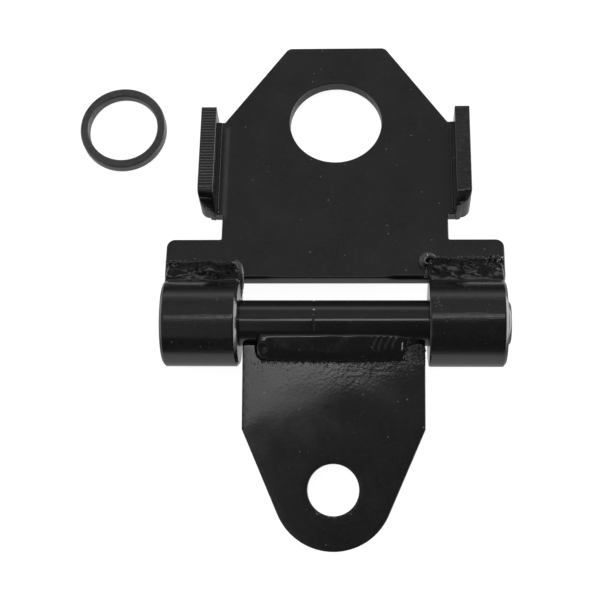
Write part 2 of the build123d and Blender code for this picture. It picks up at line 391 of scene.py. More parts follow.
def paint(name, base, rough, peel=0.02, peel_size=900.0, fleck=0.5, streak=0.0, blotch=0.35, spec=0.5, near=None, near_peel=0.0, grain=0.0, highlight_strip=None, mottle=2.0, ribs=None):
    """Black paint on steel: soft mottling, fine dust flecks and orange peel."""
    m, nt, b = tree(name)
    co = nt.nodes.new("ShaderNodeTexCoord").outputs["Object"]
    big = node(nt, "ShaderNodeTexNoise", Scale=70.0, Detail=5.0, Roughness=0.6)
    nt.links.new(co, big.inputs["Vector"])
    fine = node(nt, "ShaderNodeTexNoise", Scale=650.0, Detail=4.0, Roughness=0.65)
    nt.links.new(co, fine.inputs["Vector"])
    dark = tuple(c * (1 - blotch) for c in base)
    light = tuple(c * (1 + blotch) for c in base)
    col = mixc(nt, ramp(nt, big.outputs["Fac"], [(0.3, 0.0), (0.7, 1.0)]), dark, light)
    col = mixc(nt, ramp(nt, fine.outputs["Fac"], [(0.45, 0.0), (0.72, 0.6)]), col, tuple(c * mottle for c in base))
    # dust: a few cells of two sizes hold a pale speck at their centre
    for scale, reach, share, tone in ((330.0, 0.115, 0.72, 0.16), (900.0, 0.14, 0.86, 0.075)):
        v = node(nt, "ShaderNodeTexVoronoi", Scale=scale, Randomness=1.0)
        v.feature = "F1"
        nt.links.new(co, v.inputs["Vector"])
        spot = ramp(nt, v.outputs["Distance"], [(0.0, 1.0), (reach * 0.5, 0.8), (reach, 0.0)])
        pick = nt.nodes.new("ShaderNodeSeparateColor")
        nt.links.new(v.outputs["Color"], pick.inputs[0])
        keep = math_node(nt, "GREATER_THAN", pick.outputs[0], share)
        some = math_node(nt, "MULTIPLY", math_node(nt, "MULTIPLY", spot, keep), fleck)
        col = mixc(nt, some, col, (tone, tone, tone * 1.02))
    if highlight_strip is not None:
        # painted highlight: a paler strip of paint beside the left tab, mottled by noise; middle, half width, and its
        # two ends, in millimetres
        mid, half_w, y0, y1 = highlight_strip
        sep = nt.nodes.new("ShaderNodeSeparateXYZ")
        nt.links.new(co, sep.inputs[0])
        off = math_node(nt, "ABSOLUTE", math_node(nt, "SUBTRACT", sep.outputs[0], mid * 0.001))
        band = nt.nodes.new("ShaderNodeMapRange")
        band.interpolation_type = "SMOOTHSTEP"
        nt.links.new(off, band.inputs[0])
        band.inputs[1].default_value, band.inputs[2].default_value = 0.0, half_w * 0.0016
        band.inputs[3].default_value, band.inputs[4].default_value = 1.0, 0.0
        ends = nt.nodes.new("ShaderNodeMapRange")
        ends.interpolation_type = "SMOOTHSTEP"
        nt.links.new(math_node(nt, "ABSOLUTE", math_node(nt, "SUBTRACT", sep.outputs[1], (y0 + y1) * 0.0005)), ends.inputs[0])
        ends.inputs[1].default_value, ends.inputs[2].default_value = (y1 - y0) * 0.0005 - 0.002, (y1 - y0) * 0.0005 + 0.001
        ends.inputs[3].default_value, ends.inputs[4].default_value = 1.0, 0.0
        amount = math_node(nt, "MULTIPLY", math_node(nt, "MULTIPLY", band.outputs[0], ends.outputs[0]), big.outputs["Fac"])
        col = mixc(nt, amount, col, (0.075, 0.075, 0.077))
    if ribs is not None:
        # painted highlight on the gentle flank and crest of each saw mark: pitch in millimetres, and the height they
        # start at
        pitch, foot = ribs
        along = nt.nodes.new("ShaderNodeVectorMath")
        along.operation = "DOT_PRODUCT"
        along.inputs[1].default_value = (0.0, 993.488, -113.936)
        nt.links.new(co, along.inputs[0])
        lift = nt.nodes.new("ShaderNodeVectorMath")
        lift.operation = "DOT_PRODUCT"
        lift.inputs[1].default_value = (0.0, 113.936, 993.488)
        nt.links.new(co, lift.inputs[0])
        s_here = math_node(nt, "SUBTRACT", along.outputs["Value"], H[1] * 0.993488 - H[2] * 0.113936)
        h_here = math_node(nt, "SUBTRACT", lift.outputs["Value"], H[1] * 0.113936 + H[2] * 0.993488)
        u = math_node(nt, "FRACT", math_node(nt, "DIVIDE", s_here, pitch))
        crest = ramp(nt, u, [(0.50, 0.0), (0.62, 1.0), (0.80, 1.0), (0.90, 0.0)])
        high = math_node(nt, "GREATER_THAN", h_here, foot)
        rib_highlight = math_node(nt, "MULTIPLY", math_node(nt, "MULTIPLY", crest, high), ramp(nt, big.outputs["Fac"], [(0.25, 0.45), (0.65, 1.0)]))
        col = mixc(nt, rib_highlight, col, (0.060, 0.060, 0.061))
    nt.links.new(col, b.inputs["Base Color"])
    rn = ramp(nt, big.outputs["Fac"], [(0.3, max(rough - 0.05, 0.03)), (0.7, rough + 0.06)])
    nt.links.new(rn, b.inputs["Roughness"])
    b.inputs["Specular IOR Level"].default_value = spec
    # orange peel
    pn = node(nt, "ShaderNodeTexNoise", Scale=peel_size, Detail=2.0, Roughness=0.5)
    nt.links.new(co, pn.inputs["Vector"])
    height = pn.outputs["Fac"]
    if grain > 0:
        # drawn lines that run along the bar
        mp = nt.nodes.new("ShaderNodeMapping")
        mp.inputs["Scale"].default_value = (0.05, 1.0, 1.0)
        nt.links.new(co, mp.inputs["Vector"])
        gn = node(nt, "ShaderNodeTexNoise", Scale=1300.0, Detail=3.0, Roughness=0.6)
        nt.links.new(mp.outputs[0], gn.inputs["Vector"])
        height = math_node(nt, "ADD", height, math_node(nt, "MULTIPLY", gn.outputs["Fac"], grain / peel))
    bump = nt.nodes.new("ShaderNodeBump")
    bump.inputs["Strength"].default_value = 1.0
    if near is None:
        bump.inputs["Distance"].default_value = peel * 0.001
        nt.links.new(height, bump.inputs["Height"])
    else:
        # stronger close to the weld: near = (axis, from, to) in metres
        axis, lo, hi = near
        sep = nt.nodes.new("ShaderNodeSeparateXYZ")
        nt.links.new(co, sep.inputs[0])
        mr = nt.nodes.new("ShaderNodeMapRange")
        mr.inputs[1].default_value, mr.inputs[2].default_value = lo, hi
        mr.inputs[3].default_value, mr.inputs[4].default_value = peel / max(near_peel, 1e-6), 1.0
        nt.links.new(sep.outputs[axis], mr.inputs[0])
        bump.inputs["Distance"].default_value = near_peel * 0.001
        nt.links.new(math_node(nt, "MULTIPLY", height, mr.outputs[0]), bump.inputs["Height"])
    nt.links.new(bump.outputs[0], b.inputs["Normal"])
    return m


# the plate paint carries a painted highlight: a paler strip beside the left tab
PLATE = paint("plate_paint", (0.0026, 0.0026, 0.0027), 0.22, peel=0.012, peel_size=800.0, fleck=0.9, mottle=4.5, blotch=0.95,
              highlight_strip=(H[0] - 39.4, 0.9, H[1] + 39.0, H[1] + 77.0))
TONGUE = paint("tongue_paint", (0.0034, 0.0034, 0.0036), 0.04, peel=0.003, peel_size=900.0, fleck=0.9, mottle=3.5,
               near=(1, (H[1] - 25.0) * 0.001, (H[1] - 14.5) * 0.001), near_peel=0.018)
BARREL = paint("barrel_paint", (0.0034, 0.0034, 0.0036), 0.13, peel=0.006, fleck=0.5, grain=0.034, mottle=3.5)
ROD = paint("rod_paint", (0.0034, 0.0034, 0.0036), 0.06, peel=0.003, fleck=0.5, grain=0.010)
WELD = paint("weld_paint", (0.0038, 0.0038, 0.0040), 0.08, peel=0.006, fleck=0.4)
TAB = paint("tab_paint", (0.0058, 0.0058, 0.0060), 0.09, peel=0.008, fleck=0.6, mottle=4.0)
# the left tab's saw marks carry a painted highlight on their crests
TAB_SAWN = paint("tab_sawn_paint", (0.0040, 0.0040, 0.0042), 0.12, peel=0.008, fleck=0.5, mottle=2.5, ribs=(1.155, TAB_H - 1.2))
# paler paint for spatter, burrs, nicks and weld returns: partly their rough bare look, partly a painted highlight that
# makes them glint
SPATTER_AND_GLINT = paint("spatter_and_glint_paint", (0.032, 0.032, 0.0325), 0.24, peel=0.010, fleck=0.3, mottle=3.0)
# pale paint for the spot on the bar: a painted glint
ROD_GLINT = paint("rod_glint_paint", (0.16, 0.16, 0.162), 0.30, peel=0.006, fleck=0.2)
RING = paint("ring_finish", (0.034, 0.034, 0.0348), 0.30, peel=0.010, fleck=0.25, mottle=2.2)


def finish_piece(ob, mat, body, node_name):
    ob.data.materials.clear()
    ob.data.materials.append(mat)
    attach(ob, body)
    if node_name:
        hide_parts(node_name)
    return ob


# ---------------------------------------------------------------- hitch plate
def plate_wall(x, y, z, run, loop):
    if loop == 0:
        return 0.045 * n3(run * 1.1, z * 0.35, 3.0) + 0.10 * n3(run * 0.25, 9.0) * (1.0 if x < -58.0 else 0.15)
    # streaks left by cutting the hole
    return 0.05 * n3(run * 2.2, z * 0.28, 11.0) + 0.05 * n3(run * 0.6, z * 0.1, 4.0)


def plate_face(x, y, top):
    return 0.02 * n3(x * 0.08, y * 0.08, 5.0 + top)


hitch_outline = rounded_outline([
    (-59.25, 15.9, 0.4), (59.25, 15.9, 0.4), (59.25, 31.05, 3.0), (40.0, 31.05, 0.5),
    (40.0, 41.0, 0.4), (SEAT, 41.0, 0.3), (SEAT, 78.9, 0.3), (40.6, 78.9, 0.3), (18.0, 110.9, 2.8),
    (-18.0, 110.9, 2.8), (-40.6, 78.9, 0.3), (-SEAT, 78.9, 0.3), (-SEAT, 41.0, 0.3), (-40.0, 41.0, 0.4),
    (-40.0, 31.05, 0.5), (-59.25, 31.05, 3.0),
])
def plate_move(x, y, z):
    # the edge beside the rod is worn back towards its top, more so next to the barrels
    t = min(1.0, max(0.0, (z + 0.7) / (HALF + 0.7)))
    ends = smooth((abs(x + 1.0) - 17.0) / 6.0)
    lean = 0.24 + 0.75 * ends * (1.0 if x > 0 else 0.6) + 0.22 * n3(x * 0.35, 77.0)
    return x, y + lean * t * t * smooth((17.6 - y) / 1.4), z


hitch = slab("hitch_plate_body", hitch_outline, [circle_outline(0, BALL_S, BALL_R, 180)], -HALF, HALF, 0.45,
             on_plate, wall=plate_wall, face=plate_face, wall_rows=8, move=plate_move)
finish_piece(hitch, PLATE, "bracket", "hitch_plate")

# ---------------------------------------------------------------- tongue plate
reach = math.hypot(TONGUE_HALF, TONGUE_S - KNEE)
turn = math.atan2(TONGUE_HALF, TONGUE_S - KNEE) - math.asin(TIP_R / reach)
tip = [(TIP_R * math.cos(turn), TONGUE_S + TIP_R * math.sin(turn))]
arc = arc_pts(0, TONGUE_S, TIP_R, math.degrees(turn), 180 - math.degrees(turn), 64)
start = ROD_R - 0.72
left_side = rounded_outline([(TONGUE_HALF, start, 0.4), (TONGUE_HALF, KNEE, 0.8), (arc[0][0], arc[0][1], 0.0),
                             (0.0, TONGUE_S + TIP_R - 0.01, 0.0), (arc[-1][0], arc[-1][1], 0.0),
                             (-TONGUE_HALF, KNEE, 0.8), (-TONGUE_HALF, start, 0.4)])


def tongue_outline():
    pts = []
    run = rounded_outline([(TONGUE_HALF, start, 0.4), (TONGUE_HALF, KNEE, 0.8), (arc[0][0], arc[0][1], 0.0), (0, start + 20.0, 0.0)])
    first = int(np.argmin([np.hypot(p[0] - arc[0][0], p[1] - arc[0][1]) for p in run]))
    right = [p for p in run[:first] if p[0] > 0.5]
    pts += right
    pts += [np.array(p) for p in arc]
    pts += [np.array([-p[0], p[1]]) for p in right[::-1]]
    # the upper edge, from left to right
    a, b = pts[-1], pts[0]
    k = 40
    pts += [a + (b - a) * i / k for i in range(1, k)]
    return pts


def tongue_wall(x, y, z, run, loop):
    if loop == 0:
        return 0.04 * n3(run * 1.0, z * 0.3, 21.0)
    return 0.010 * n3(run * 1.8, z * 0.3, 25.0)


def tongue_face(x, y, top):
    return 0.016 * n3(x * 0.09, y * 0.09, 15.0 + top) + 0.03 * smooth((26.0 - y) / 14.0) * n3(x * 0.4, y * 0.4, 33.0)


tongue = slab("tongue_plate_body", tongue_outline(), [circle_outline(0, TONGUE_S, TONGUE_HOLE_R, 96)], -HALF, HALF, 0.40,
              on_tongue, wall=tongue_wall, face=tongue_face, wall_rows=4, grid=2.4, hole_edge=0.3)
finish_piece(tongue, TONGUE, "tongue", "tongue_plate")


# ---------------------------------------------------------------- side tabs
def make_tab(side):
    # local x is along the plate, local y is the height over its middle plane, local z is across
    outline = rounded_outline([(TAB_LOW, -HALF, 0.4), (TAB_TOP, -HALF, 0.4), (TAB_TOP + (0.3 if side > 0 else 0.0), TAB_H, 0.35 if side < 0 else 1.3),
                               (TAB_LOW + (1.6 if side > 0 else 4.0), TAB_H, 4.4 if side > 0 else 4.2), (TAB_LOW, 4.0 if side > 0 else 1.4, 1.6)], step=0.09)
    thick = TAB_T if side < 0 else TAB_T - 0.22
    pitch = 1.155 if side < 0 else 0.62

    def wall(x, y, z, run, loop):
        # only the cut edge that faces up, and a little of the rounded corner
        up = smooth((y - (TAB_H - 6.5)) / 3.0)
        w = x + 0.03 * n3(z * 0.35, x * 0.8, 2.0)
        u = (w / pitch) % 1.0
        v = interp([(0.0, -0.127), (0.42, -0.127), (0.61, -0.083), (0.80, 0.0), (1.0, -0.127)], u)
        amp = (1.0 + 0.25 * n3(x * 0.9, 31.0)) if side < 0 else 0.22
        rough = 0.012 if side < 0 else 0.07
        return up * (amp * v + rough * n3(x * 1.6, z * 0.9, 40.0 + side)) + 0.015 * n3(run, z, 50.0)

    def move(x, y, z):
        # the lower end slants up towards the outside, with a rounded corner
        x = x + 1.2 * (z / TAB_T) ** 1.2 * smooth((TAB_LOW + 6.0 - x) / 6.0)
        z = z * thick / TAB_T
        r = 3.6
        cx, cz = TAB_LOW + 1.1 + r, thick - r
        if x < cx and z > cz:
            dx, dz = x - cx, z - cz
            d = math.hypot(dx, dz)
            if d > r:
                x, z = cx + dx * r / d, cz + dz * r / d
        return x, y, z

    name = "left_tab" if side < 0 else "right_tab"
    ob = slab(name + "_body", outline, [], 0.0, TAB_T, 0.32,
              lambda x, y, z: on_plate(side * (SEAT + z), x, y), wall=wall, wall_rows=14, grid=1.0, move=move)
    finish_piece(ob, TAB_SAWN if side < 0 else TAB, "bracket", name)
    return ob


left_tab = make_tab(-1)
right_tab = make_tab(1)


# ---------------------------------------------------------------- barrels and rod
def barrel_profile(x0, x1, c0=1.0):
    c, m, e = 1.0, 0.5, 0.16
    k = 40
    outer = [(x0 + c0 + (x1 - x0 - c - c0) * i / k, BARREL_R) for i in range(k + 1)]
    pts = [(x0, BORE_R + m + 0.15), (x0, BARREL_R - c0 * 1.1)]
    pts += [(x0 + 0.04 * c0, BARREL_R - c0 * 0.98)]
    pts += [(x0 + c0 * 0.88, BARREL_R - 0.06 * c0)] + outer
    pts += [(x1 - c + 0.12, BARREL_R - 0.06), (x1 - 0.04, BARREL_R - c + 0.02), (x1, BARREL_R - c - 0.12)]
    pts += [(x1, BORE_R + m + 0.15), (x1 - 0.08, BORE_R + m - 0.05), (x1 - m, BORE_R + 0.02)]
    pts += [(x1 - m - 0.3 - (x1 - x0 - 2 * m - 0.6) * i / 8, BORE_R) for i in range(9)]
    pts += [(x0 + m, BORE_R + 0.02), (x0 + 0.08, BORE_R + m - 0.05)]
    return pts


def barrel_wobble(seed):
    def f(x, a, r):
        if r > BARREL_R - 0.02:
            return 0.012 * n3(x * 0.35, math.cos(a) * 1.5, math.sin(a) * 1.5 + seed)
        return 0.0
    return f


for side, name in ((-1, "left_barrel"), (1, "right_barrel")):
    x0, x1 = (BARREL_IN, BARREL_OUT) if side > 0 else (-BARREL_OUT, -BARREL_IN)
    ob = lathe(name + "_body", barrel_profile(x0, x1, 0.3 if side > 0 else 1.0), 144, on_hinge, wobble=barrel_wobble(3.0 * side))
    finish_piece(ob, BARREL, "bracket", name)

rod_pts = [(-58.30, 0.6), (-58.30, ROD_R - 1.1), (-58.22, ROD_R - 0.92), (-57.45, ROD_R - 0.12)]
rod_x = sorted([-57.2 + (59.2 + 57.2) * i / 150 for i in range(151)] + [-7.6 + 0.1 * i for i in range(15)])
rod_pts += [(v, ROD_R - 0.006) for v in rod_x]
rod_pts += [(59.45, ROD_R - 0.12), (60.22, ROD_R - 0.92), (60.30, ROD_R - 1.1), (60.30, 0.6)]


def rod_wobble(x, a, r):
    if r < ROD_R - 0.02 or abs(x) > 31:
        return 0.0
    # one turned mark round the bar
    d = (x + 6.9) / 0.24
    mark = -0.12 * math.exp(-d * d)
    return mark + 0.006 * n3(x * 0.5, math.cos(a) * 2, math.sin(a) * 2) - 0.004


rod = lathe("hinge_rod_body", rod_pts, 128, on_hinge, wobble=rod_wobble, closed=False)
finish_piece(rod, ROD, "tongue", "hinge_rod")

# ---------------------------------------------------------------- reducer ring
c = 0.5
ring_pts = [(0.0, RING_IR + c + 0.1), (0.0, RING_OR - c - 0.1), (0.08, RING_OR - c + 0.08), (c - 0.1, RING_OR - 0.06), (c + 0.15, RING_OR)]
ring_pts += [(c + 0.15 + (RING_H - 2 * c - 0.3) * i / 6, RING_OR) for i in range(1, 7)]
ring_pts += [(RING_H - c + 0.1, RING_OR - 0.06), (RING_H - 0.08, RING_OR - c + 0.08), (RING_H, RING_OR - c - 0.1)]
ring_pts += [(RING_H, RING_IR + c + 0.1), (RING_H - 0.08, RING_IR + c - 0.08), (RING_H - c + 0.1, RING_IR + 0.06), (RING_H - c - 0.15, RING_IR)]
ring_pts += [(RING_H - c - 0.15 - (RING_H - 2 * c - 0.3) * i / 6, RING_IR) for i in range(1, 7)]
ring_pts += [(c - 0.1, RING_IR + 0.06), (0.08, RING_IR + c - 0.08)]


def ring_wobble(x, a, r):
    return 0.02 * n3(math.cos(a) * 2.5, math.sin(a) * 2.5, x * 0.4)


ring = lathe("reducer_ring_body", ring_pts, 160,
             lambda x, y, z: RING_C + np.array([y, z, x]), wobble=ring_wobble)
finish_piece(ring, RING, "ring", "reducer_ring")


# ---------------------------------------------------------------- weld beads
def bead_loop(x, a, e, crown, lean, inner, k=14, lumps=None, jit=0.0):
    """One closed section. a and e are the toes in (s, h); the bead's skin bulges between them."""
    a, e = np.array(a, float), np.array(e, float)
    d = e - a
    length = max(np.linalg.norm(d), 1e-6)
    nrm = np.array([-d[1], d[0]]) / length
    if nrm @ np.array([abs(a[0]), abs(e[1])]) * (1 if True else 1) < 0:
        nrm = -nrm
    pts = []
    for i in range(k + 1):
        v = i / k
        shape = (4 * v * (1 - v)) ** 0.75
        p = a + d * v + nrm * (crown * shape * (1 + lean * (v - 0.5)))
        p[0] += jit * (1 - v) ** 5
        if lumps is not None:
            p = p + nrm * (lumps(x, v) * min(1.0, 6 * v, 6 * (1 - v)))
        pts.append(p)
    for q in inner:
        pts.append(np.array(q, float))
    return [(x, p[0], p[1]) for p in pts]


def wing_bead(name, side, keys, seed, back=False, spots=()):
    """keys: (distance across, toe on plate, toe angle on barrel, crown) along the joint."""
    f = -1.0 if back else 1.0
    toe_k = [(k[0], k[1]) for k in keys]
    ang_k = [(k[0], k[2]) for k in keys]
    crown_k = [(k[0], k[3]) for k in keys]
    x0, x1 = keys[0][0], keys[-1][0]
    loops = []
    n = int((x1 - x0) / 0.22)
    for i in range(n + 1):
        x = x0 + (x1 - x0) * i / n
        end = min((x - x0) / 1.8, (x1 - x) / 0.9, 1.0)
        end = math.sqrt(max(0.0, 1 - (1 - end) ** 2))
        end = max(end, 0.03)
        toe = 16.1 + (interp(toe_k, x) - 16.1) * end
        jit = (0.55 * n3(x * 0.9, seed) + 0.40 * n3(x * 2.6, seed + 4) + 0.2 * n3(x * 6.0, seed + 5)) * end
        ang = interp(ang_k, x) + 1.0 * n3(x * 0.25, seed + 8)
        beyond = smooth((BARREL_IN + 0.15 - x) / 0.5)
        e = np.array([BARREL_R * math.cos(math.radians(ang)), BARREL_R * math.sin(math.radians(ang))])
        low = np.array([15.2, HALF + 0.25])
        e = low + (e - low) * (end if beyond <= 0 else end * (1 - beyond)) + np.array([0.9 * beyond, 0.9 * beyond * end])
        crown = interp(crown_k, x) * end
        ei = e * (14.0 / max(np.linalg.norm(e), 1e-6)) if beyond < 0.5 else np.array([16.2, HALF - 0.3])
        inner = [(ei[0], ei[1]), (14.6 if beyond < 0.5 else 16.6, HALF - 0.55), (max(toe - 0.25, 16.9), HALF - 0.45)]

        def lumps(xx, v):
            arcs = xx - 1.1 * (v - 0.5) ** 2 * 4
            ripple = 0.018 * math.sin(arcs * 2 * math.pi / 1.9 + 1.5 * n3(xx * 0.4, seed + 2))
            broad = 0.60 * n3(xx * 0.20, v * 2.6, seed + 12) + 0.26 * n3(xx * 0.5, v * 6.0, seed + 16)
            small = 0.10 * n3(xx * 1.1, v * 11, seed + 18) + 0.05 * n3(xx * 2.2, v * 22, seed + 20)
            bumps = sum(h * math.exp(-(((xx - bx) / (r * 1.5)) ** 2 + ((v - bv) * 10.5 / r) ** 2)) for (bx, bv, r, h) in spots)
            return (ripple + broad + small) * end + bumps

        loop = bead_loop(x, (toe, HALF), (e[0], e[1]), crown, 0.0, inner, k=22, lumps=lumps, jit=jit)
        loops.append([(side * p[0], p[1], f * p[2]) for p in loop])
    return loft(name, loops, on_plate)


left_front = wing_bead("left_barrel_weld_front_bead", -1, [
    (31.9, 20.6, 14, 0.8), (33.0, 21.6, 32, 0.6), (36, 21.4, 36, 0.35), (41, 21.3, 38, 0.25), (44, 22.6, 34, 0.4),
    (49, 22.0, 36, 0.5), (54, 21.8, 38, 0.35), (58.7, 21.4, 36, 0.3)], 3.0,
    spots=((37.4, 0.45, 0.85, 0.30), (48.2, 0.80, 1.5, 0.42), (55.5, 0.35, 0.7, 0.2), (52.0, 0.75, 0.9, 0.2), (43.0, 0.5, 1.2, -0.25)))
finish_piece(left_front, WELD, "bracket", "left_barrel_weld_front")
right_front = wing_bead("right_barrel_weld_front_bead", 1, [
    (31.0, 22.6, 14, 1.0), (32.2, 23.8, 24, 1.0), (34, 23.9, 34, 0.6), (40, 23.6, 37, 0.4), (44, 22.8, 38, 0.3),
    (49, 23.2, 36, 0.5), (54, 23.2, 36, 0.6), (58.7, 22.4, 35, 0.4)], 43.0,
    spots=((45.0, 0.78, 1.5, 0.45), (41.0, 0.85, 1.0, 0.25), (52.6, 0.25, 0.7, 0.30), (54.6, 0.42, 0.6, 0.28), (56.2, 0.62, 0.8, 0.3),
           (50.6, 0.12, 0.6, 0.25), (36.0, 0.55, 1.3, -0.3), (48.6, 0.5, 1.2, -0.25)))
finish_piece(right_front, WELD, "bracket", "right_barrel_weld_front")
for side, name, seed in ((-1, "left_barrel_weld_back", 71.0), (1, "right_barrel_weld_back", 93.0)):
    ob = wing_bead(name + "_bead", side, [
        (33.7, 19.6, 28, 0.9), (37, 20.8, 30, 1.1), (43, 20.4, 31, 1.0), (50, 20.9, 29, 1.2), (56.7, 19.6, 28, 0.8)], seed, back=True)
    finish_piece(ob, WELD, "bracket", name)


def tube(name, path, radii, to_world, k=12, seed=0.0, closed=False):
    """A bead run along a smooth line of points with a changing radius."""
    path = [np.array(p, float) for p in path]
    pts, rad = [], []
    n = len(path)
    for i in range(n - 1):
        p0, p1, p2, p3 = path[max(i - 1, 0)], path[i], path[i + 1], path[min(i + 2, n - 1)]
        for t in np.linspace(0, 1, 9)[:-1] if i < n - 2 else np.linspace(0, 1, 9):
            pts.append(0.5 * (2 * p1 + (p2 - p0) * t + (2 * p0 - 5 * p1 + 4 * p2 - p3) * t * t + (3 * p1 - p0 - 3 * p2 + p3) * t ** 3))
            rad.append(radii[i] + (radii[i + 1] - radii[i]) * t)
    loops = []
    for i, p in enumerate(pts):
        d = pts[min(i + 1, len(pts) - 1)] - pts[max(i - 1, 0)]
        d = d / np.linalg.norm(d)
        u = np.cross(d, [0.3, 0.2, 0.93])
        u /= np.linalg.norm(u)
        w = np.cross(d, u)
        r = rad[i] * (1 + 0.16 * n3(i * 0.35, seed))
        if i in (0, len(pts) - 1):
            r *= 0.25
        elif i in (1, len(pts) - 2):
            r *= 0.7
        loops.append([tuple(p + (u * math.cos(2 * math.pi * q / k) + w * math.sin(2 * math.pi * q / k)) * r * (1 + 0.06 * n3(i * 0.6, q * 1.3, seed))) for q in range(k)])
    return loft(name, loops, to_world)


# the weld returns take the paler spatter paint: a painted highlight for their bright tops
curl = tube("left_barrel_weld_return", [(-35.6, 21.6, 2.6), (-34.2, 21.2, 3.6), (-33.0, 19.8, 4.2), (-32.5, 17.8, 4.2), (-32.3, 16.2, 3.0), (-32.3, 15.0, 1.2), (-32.5, 13.4, -0.8), (-32.6, 11.6, -1.6), (-32.8, 10.0, -2.2)],
            [0.7, 1.05, 1.2, 1.15, 1.05, 0.9, 0.75, 0.6, 0.35], on_plate, seed=5.0)
finish_piece(curl, SPATTER_AND_GLINT, "bracket", None)
curl = tube("right_barrel_weld_return", [(35.2, 23.6, 2.9), (33.4, 24.1, 3.4), (31.8, 23.9, 3.7), (30.7, 22.8, 3.7), (30.5, 21.2, 3.3), (31.0, 19.8, 2.7), (31.6, 18.6, 1.9)],
            [0.7, 1.05, 1.25, 1.3, 1.1, 0.8, 0.4], on_plate, k=16, seed=6.0)
finish_piece(curl, SPATTER_AND_GLINT, "bracket", None)


def tongue_bead(name, keys, seed, back=False):
    f = -1.0 if back else 1.0
    toe_k = [(k[0], k[1]) for k in keys]
    ang_k = [(k[0], k[2]) for k in keys]
    crown_k = [(k[0], k[3]) for k in keys]
    rough_k = [(k[0], k[4]) for k in keys]
    x0, x1 = keys[0][0], keys[-1][0]
    loops = []
    n = int((x1 - x0) / 0.22)
    for i in range(n + 1):
        x = x0 + (x1 - x0) * i / n
        end = min((x - x0) / 2.4, (x1 - x) / 2.4, 1.0)
        end = max(math.sqrt(max(0.0, 1 - (1 - end) ** 2)), 0.03)
        rough = interp(rough_k, x)
        toe = 8.4 + (interp(toe_k, x) - 8.4) * end
        jit = (0.60 * n3(x * 0.8, seed) + 0.50 * n3(x * 2.4, seed + 4) + 0.25 * n3(x * 6.0, seed + 5)) * end
        ang = interp(ang_k, x) + 0.8 * n3(x * 0.2, seed + 8)
        full = math.radians(ang)
        rest = math.asin((HALF + 0.2) / ROD_R)
        a = rest + (full - rest) * end
        e = (ROD_R * math.cos(a), ROD_R * math.sin(a))
        crown = interp(crown_k, x) * end
        inner = [(e[0] * 0.86, e[1] * 0.86), (7.0, HALF - 0.5), (toe - 0.25, HALF - 0.4)]

        def lumps(xx, v):
            amp = 0.070 * smooth((xx - 12.0) / 3.0) if not back else 0.02
            ripple = amp * math.sin((xx - 2.4 * (v - 0.5) ** 2 * 4) * 2 * math.pi / 2.2)
            broad = 0.16 * n3(xx * 0.12, v * 1.6, seed + 12) + 0.05 * n3(xx * 0.22, v * 3, seed + 16)
            small = (0.012 + 0.30 * max(0.0, rough - 0.15)) * n3(xx * 1.5, v * 15, seed + 20) + 0.012 * n3(xx * 0.7, v * 7, seed + 24)
            pit = 0.0
            if not back:
                d = math.hypot(xx + 24.2, (v - 0.52) * 7.5)
                pit = -0.55 * math.exp(-(d / 0.85) ** 2) + 0.22 * math.exp(-((d - 1.9) / 0.6) ** 2)
                d = math.hypot(xx - 10.6, (v - 0.16) * 7.5)
                pit += 0.28 * math.exp(-(d / 0.45) ** 2)
            return (ripple + broad + small) * end + pit

        loop = bead_loop(x, (toe, HALF), e, crown, 0.0, inner, k=20, lumps=lumps, jit=jit)
        loops.append([(p[0], p[1], f * p[2]) for p in loop])
    return loft(name, loops, on_tongue)


tw = tongue_bead("tongue_weld_front_bead", [
    (-27.2, 12.9, 50, 1.2, 0.1), (-24.5, 13.4, 54, 1.3, 0.1), (-20, 13.6, 54, 1.1, 0.1), (-8, 13.8, 54, 1.0, 0.1), (4, 13.9, 54, 1.0, 0.15),
    (14, 13.8, 54, 0.9, 0.3), (21, 13.5, 52, 0.8, 0.4), (25, 13.0, 46, 0.35, 0.9), (31.0, 12.4, 34, 0.15, 1.0)], 117.0)
finish_piece(tw, WELD, "tongue", "tongue_weld_front")
tw = tongue_bead("tongue_weld_back_bead", [
    (-26.2, 12.0, 44, 0.8, 0.1), (-20, 12.6, 47, 0.9, 0.1), (-6, 12.4, 48, 1.0, 0.2), (10, 12.7, 47, 0.9, 0.2), (20, 12.5, 47, 0.9, 0.2), (26.2, 11.9, 45, 0.7, 0.2)], 131.0, back=True)
finish_piece(tw, WELD, "tongue", "tongue_weld_back")


